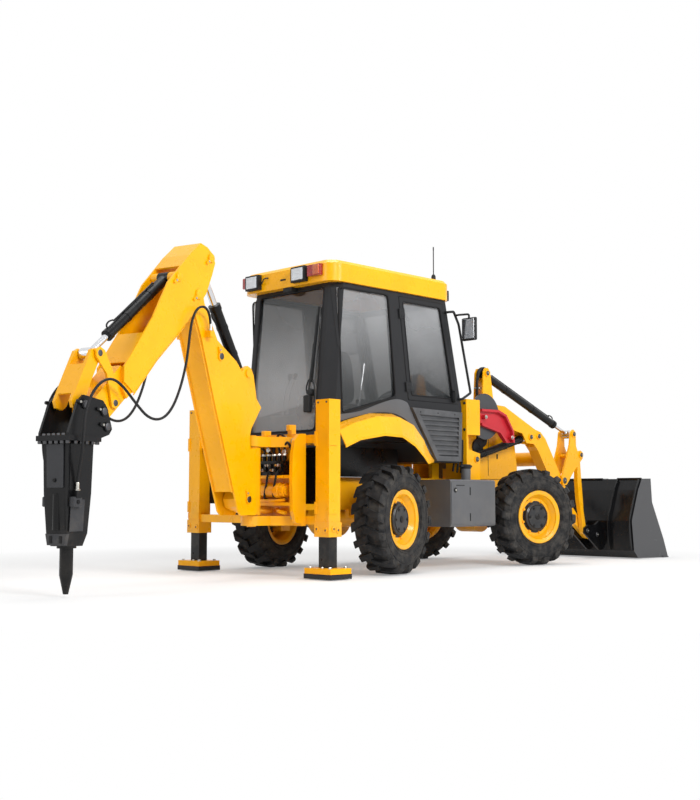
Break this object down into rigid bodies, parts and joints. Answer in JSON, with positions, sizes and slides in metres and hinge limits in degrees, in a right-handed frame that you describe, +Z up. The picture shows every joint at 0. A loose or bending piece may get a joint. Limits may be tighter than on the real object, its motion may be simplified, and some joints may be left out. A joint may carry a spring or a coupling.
{
  "type": "backhoe loader with hydraulic breaker",
  "caption": "Four-wheel-steer backhoe loader: glazed cab, front loader bucket, side-shift rear boom with a hydraulic breaker, and two box stabilisers.",
  "frame": {"origin": "on the ground, midway between the bucket edge and the rearmost point of the breaker, on the centre line of the chassis", "axes": "+X towards the loader bucket, +Y to the machine left, +Z up"},
  "size_m": [7.9573, 2.0898, 3.12],
  "materials": {
    "yellow_paint": "gloss",
    "dark_grey_paint": "satin",
    "light_grey_plastic": "satin",
    "grey_paint": "satin",
    "black_paint": "satin",
    "rod_chrome": "polished",
    "tyre_rubber": "matte",
    "tinted_glass": "clear",
    "seat_cloth": "woven",
    "lamp_clear": "gloss",
    "lamp_red": "gloss",
    "red_paint": "gloss",
    "hose_rubber": "matte",
    "tool_steel": "worn",
    "engine_iron": "rough"
  },
  "bodies": {
    "chassis": {"main_frame": "yellow_paint", "engine_block": "engine_iron", "cab_frame": "dark_grey_paint", "roof": "yellow_paint", "cab_glass": "tinted_glass", "louvre_panel": "light_grey_plastic", "rear_fenders": "yellow_paint", "side_tanks": "dark_grey_paint", "rear_frame": "yellow_paint", "axles": "yellow_paint", "seat": "seat_cloth", "controls": "black_paint", "work_lamps": "lamp_clear", "tail_lamps": "lamp_red", "rails_and_mirrors": "black_paint", "antenna": "black_paint"},
    "bonnet": {"bonnet": "yellow_paint"},
    "door_left": {"door_left": "dark_grey_paint"},
    "door_right": {"door_right": "dark_grey_paint"},
    "swivel_front_left": {"swivel_front_left": "yellow_paint"},
    "wheel_front_left": {"tyre_front_left": "tyre_rubber", "rim_front_left": "yellow_paint"},
    "swivel_front_right": {"swivel_front_right": "yellow_paint"},
    "wheel_front_right": {"tyre_front_right": "tyre_rubber", "rim_front_right": "yellow_paint"},
    "swivel_rear_left": {"swivel_rear_left": "yellow_paint"},
    "wheel_rear_left": {"tyre_rear_left": "tyre_rubber", "rim_rear_left": "yellow_paint"},
    "swivel_rear_right": {"swivel_rear_right": "yellow_paint"},
    "wheel_rear_right": {"tyre_rear_right": "tyre_rubber", "rim_rear_right": "yellow_paint"},
    "loader_arms": {"loader_arms": "yellow_paint", "safety_strut": "red_paint"},
    "lift_barrels": {"lift_ram_barrels": "black_paint"},
    "lift_rods": {"lift_ram_rods": "rod_chrome"},
    "tilt_barrels": {"tilt_ram_barrels": "black_paint"},
    "tilt_rods": {"tilt_ram_rods": "rod_chrome"},
    "tilt_levers": {"tilt_levers": "yellow_paint"},
    "tilt_links": {"tilt_links": "yellow_paint"},
    "loader_bucket": {"loader_bucket": "dark_grey_paint"},
    "carriage": {"carriage": "yellow_paint", "carriage_valves": "black_paint"},
    "kingpost": {"kingpost": "yellow_paint"},
    "boom": {"boom": "yellow_paint", "breaker_hose_right": "hose_rubber", "breaker_hose_left": "hose_rubber"},
    "boom_barrel": {"boom_ram_barrel": "black_paint"},
    "boom_rod": {"boom_ram_rod": "rod_chrome"},
    "dipper": {"dipper": "yellow_paint"},
    "dipper_barrel": {"dipper_ram_barrel": "black_paint"},
    "dipper_rod": {"dipper_ram_rod": "rod_chrome"},
    "tool_barrel": {"tool_ram_barrel": "black_paint"},
    "tool_rod": {"tool_ram_rod": "rod_chrome"},
    "tool_levers": {"tool_levers": "yellow_paint"},
    "tool_link": {"tool_link": "yellow_paint"},
    "breaker": {"breaker": "grey_paint", "chisel": "tool_steel"},
    "stabiliser_left": {"stabiliser_leg_left": "yellow_paint"},
    "stabiliser_right": {"stabiliser_leg_right": "yellow_paint"}
  },
  "joints": [
    {"name": "steer_front_left", "type": "hinge", "parent": "chassis", "child": "swivel_front_left", "pos_m": [1.6155, 0.725, 0.4825], "axis": [0, 0, 1], "range_deg": [-11.5, 40.5]},
    {"name": "roll_front_left", "type": "hinge", "parent": "swivel_front_left", "child": "wheel_front_left", "pos_m": [1.63052, 0.78309, 0.4825], "axis": [0.2504, 0.9681, 0], "continuous": true},
    {"name": "steer_front_right", "type": "hinge", "parent": "chassis", "child": "swivel_front_right", "pos_m": [1.6155, -0.725, 0.4825], "axis": [0, 0, 1], "range_deg": [-11.5, 40.5]},
    {"name": "roll_front_right", "type": "hinge", "parent": "swivel_front_right", "child": "wheel_front_right", "pos_m": [1.60048, -0.78309, 0.4825], "axis": [0.2504, 0.9681, 0], "continuous": true},
    {"name": "steer_rear_left", "type": "hinge", "parent": "chassis", "child": "swivel_rear_left", "pos_m": [-0.4845, 0.725, 0.4825], "axis": [0, 0, 1], "range_deg": [-39, 13]},
    {"name": "roll_rear_left", "type": "hinge", "parent": "swivel_rear_left", "child": "wheel_rear_left", "pos_m": [-0.498, 0.78346, 0.4825], "axis": [-0.225, 0.9744, 0], "continuous": true},
    {"name": "steer_rear_right", "type": "hinge", "parent": "chassis", "child": "swivel_rear_right", "pos_m": [-0.4845, -0.725, 0.4825], "axis": [0, 0, 1], "range_deg": [-39, 13]},
    {"name": "roll_rear_right", "type": "hinge", "parent": "swivel_rear_right", "child": "wheel_rear_right", "pos_m": [-0.471, -0.78346, 0.4825], "axis": [-0.225, 0.9744, 0], "continuous": true},
    {"name": "bonnet_lid", "type": "hinge", "parent": "chassis", "child": "bonnet", "pos_m": [1.0805, 0, 1.4], "axis": [0, -1, 0], "range_deg": [0, 55]},
    {"name": "sash_right", "type": "hinge", "parent": "chassis", "child": "door_right", "pos_m": [-0.05091, -0.5893, 1.7], "axis": [0.1355, 0, -0.9908], "range_deg": [0, 80]},
    {"name": "door_left", "type": "hinge", "parent": "chassis", "child": "door_left", "pos_m": [-0.07213, 0.5893, 1.7], "axis": [-0.111, 0, 0.9938], "range_deg": [0, 80]},
    {"name": "loader_lift", "type": "hinge", "parent": "chassis", "child": "loader_arms", "pos_m": [0.9155, 0, 1.5], "axis": [0, -1, 0], "range_deg": [0, 60]},
    {"name": "lift_barrel_swing", "type": "hinge", "parent": "chassis", "child": "lift_barrels", "pos_m": [1.0155, 0, 1.054], "axis": [0, -1, 0], "range_deg": [-0.3, 51.38]},
    {"name": "lift_rod_slide", "type": "slide", "parent": "lift_barrels", "child": "lift_rods", "axis": [0.9664, 0, 0.257], "range_m": [-0.003, 0.4281]},
    {"name": "bucket_tilt", "type": "hinge", "parent": "loader_arms", "child": "loader_bucket", "pos_m": [3.1605, 0, 0.265], "axis": [0, -1, 0], "range_deg": [-45, 40]},
    {"name": "tilt_lever_swing", "type": "hinge", "parent": "loader_arms", "child": "tilt_levers", "pos_m": [2.5655, 0, 0.86], "axis": [0, -1, 0], "range_deg": [-19.32, 21.7]},
    {"name": "tilt_link_swing", "type": "hinge", "parent": "tilt_levers", "child": "tilt_links", "pos_m": [2.8755, 0, 1.145], "axis": [0, -1, 0], "range_deg": [-11.6, 10.34]},
    {"name": "tilt_barrel_swing", "type": "hinge", "parent": "loader_arms", "child": "tilt_barrels", "pos_m": [1.2535, 0, 1.934], "axis": [0, -1, 0], "range_deg": [-0.57, 0.54]},
    {"name": "tilt_rod_slide", "type": "slide", "parent": "tilt_barrels", "child": "tilt_rods", "axis": [0.935, 0, -0.3546], "range_m": [-0.2019, 0.1798]},
    {"name": "carriage_shift", "type": "slide", "parent": "chassis", "child": "carriage", "axis": [0, 1, 0], "range_m": [-0.11, 0.75]},
    {"name": "backhoe_swing", "type": "hinge", "parent": "carriage", "child": "kingpost", "pos_m": [-1.7045, -0.32, 0.8], "axis": [0, 0, 1], "range_deg": [-104, 76]},
    {"name": "boom_lower", "type": "hinge", "parent": "kingpost", "child": "boom", "pos_m": [-1.89856, -0.36838, 0.66], "axis": [0.2419, -0.9703, 0], "range_deg": [-5, 100]},
    {"name": "boom_barrel_swing", "type": "hinge", "parent": "kingpost", "child": "boom_barrel", "pos_m": [-1.85004, -0.35629, 1], "axis": [0.2419, -0.9703, 0], "range_deg": [-5.53, 104.96]},
    {"name": "boom_rod_slide", "type": "slide", "parent": "boom_barrel", "child": "boom_rod", "axis": [-0.4676, -0.1166, 0.8762], "range_m": [-0.0287, 0.5169]},
    {"name": "dipper_open", "type": "hinge", "parent": "boom", "child": "dipper", "pos_m": [-2.58456, -0.53942, 2.252], "axis": [-0.2419, 0.9703, 0], "range_deg": [-25, 55], "deforming": ["breaker_hose_left", "breaker_hose_right"]},
    {"name": "dipper_barrel_swing", "type": "hinge", "parent": "boom", "child": "dipper_barrel", "pos_m": [-1.88886, -0.36597, 1.7], "axis": [-0.2419, 0.9703, 0], "range_deg": [-2.98, 6.2]},
    {"name": "dipper_rod_slide", "type": "slide", "parent": "dipper_barrel", "child": "dipper_rod", "axis": [-0.5332, -0.1329, 0.8355], "range_m": [-0.3108, 0.1429]},
    {"name": "tool_curl", "type": "hinge", "parent": "dipper", "child": "breaker", "pos_m": [-3.60628, -0.79417, 1.27], "axis": [0.2419, -0.9703, 0], "range_deg": [-40, 90]},
    {"name": "tool_lever_swing", "type": "hinge", "parent": "dipper", "child": "tool_levers", "pos_m": [-3.46074, -0.75788, 1.34], "axis": [0.2419, -0.9703, 0], "range_deg": [-23.16, 51.74]},
    {"name": "tool_link_swing", "type": "hinge", "parent": "tool_levers", "child": "tool_link", "pos_m": [-3.62083, -0.7978, 1.68], "axis": [0.2419, -0.9703, 0], "range_deg": [-4.5, 2.17]},
    {"name": "tool_barrel_swing", "type": "hinge", "parent": "dipper", "child": "tool_barrel", "pos_m": [-2.82034, -0.59821, 2.35], "axis": [0.2419, -0.9703, 0], "range_deg": [-0.93, 0.58]},
    {"name": "tool_rod_slide", "type": "slide", "parent": "tool_barrel", "child": "tool_rod", "axis": [-0.7532, -0.1878, -0.6304], "range_m": [-0.1479, 0.3291]},
    {"name": "stabiliser_drop_left", "type": "slide", "parent": "chassis", "child": "stabiliser_left", "axis": [0, 0, 1], "range_m": [-0.24, 0.2]},
    {"name": "stabiliser_drop_right", "type": "slide", "parent": "chassis", "child": "stabiliser_right", "axis": [0, 0, 1], "range_m": [-0.24, 0.2]}
  ],
  "couplings": [
    {"joint": "steer_front_right", "follows": "steer_front_left", "ratio": 1},
    {"joint": "steer_rear_right", "follows": "steer_rear_left", "ratio": 1},
    {"joint": "lift_barrel_swing", "follows": "loader_lift", "ratio": 0.85141},
    {"joint": "lift_rod_slide", "follows": "loader_lift", "m_per_rad": 0.4059},
    {"joint": "tilt_lever_swing", "follows": "bucket_tilt", "ratio": -0.47561},
    {"joint": "tilt_link_swing", "follows": "bucket_tilt", "ratio": 0.25108},
    {"joint": "tilt_barrel_swing", "follows": "bucket_tilt", "ratio": 0.00611},
    {"joint": "tilt_rod_slide", "follows": "bucket_tilt", "m_per_rad": 0.2532},
    {"joint": "boom_barrel_swing", "follows": "boom_lower", "ratio": 1.0466},
    {"joint": "boom_rod_slide", "follows": "boom_lower", "m_per_rad": 0.29445},
    {"joint": "dipper_barrel_swing", "follows": "dipper_open", "ratio": 0.10736},
    {"joint": "dipper_rod_slide", "follows": "dipper_open", "m_per_rad": -0.32061},
    {"joint": "tool_lever_swing", "follows": "tool_curl", "ratio": 0.57151},
    {"joint": "tool_link_swing", "follows": "tool_curl", "ratio": -0.04669},
    {"joint": "tool_barrel_swing", "follows": "tool_curl", "ratio": -0.00701},
    {"joint": "tool_rod_slide", "follows": "tool_curl", "m_per_rad": 0.20757}
  ]
}
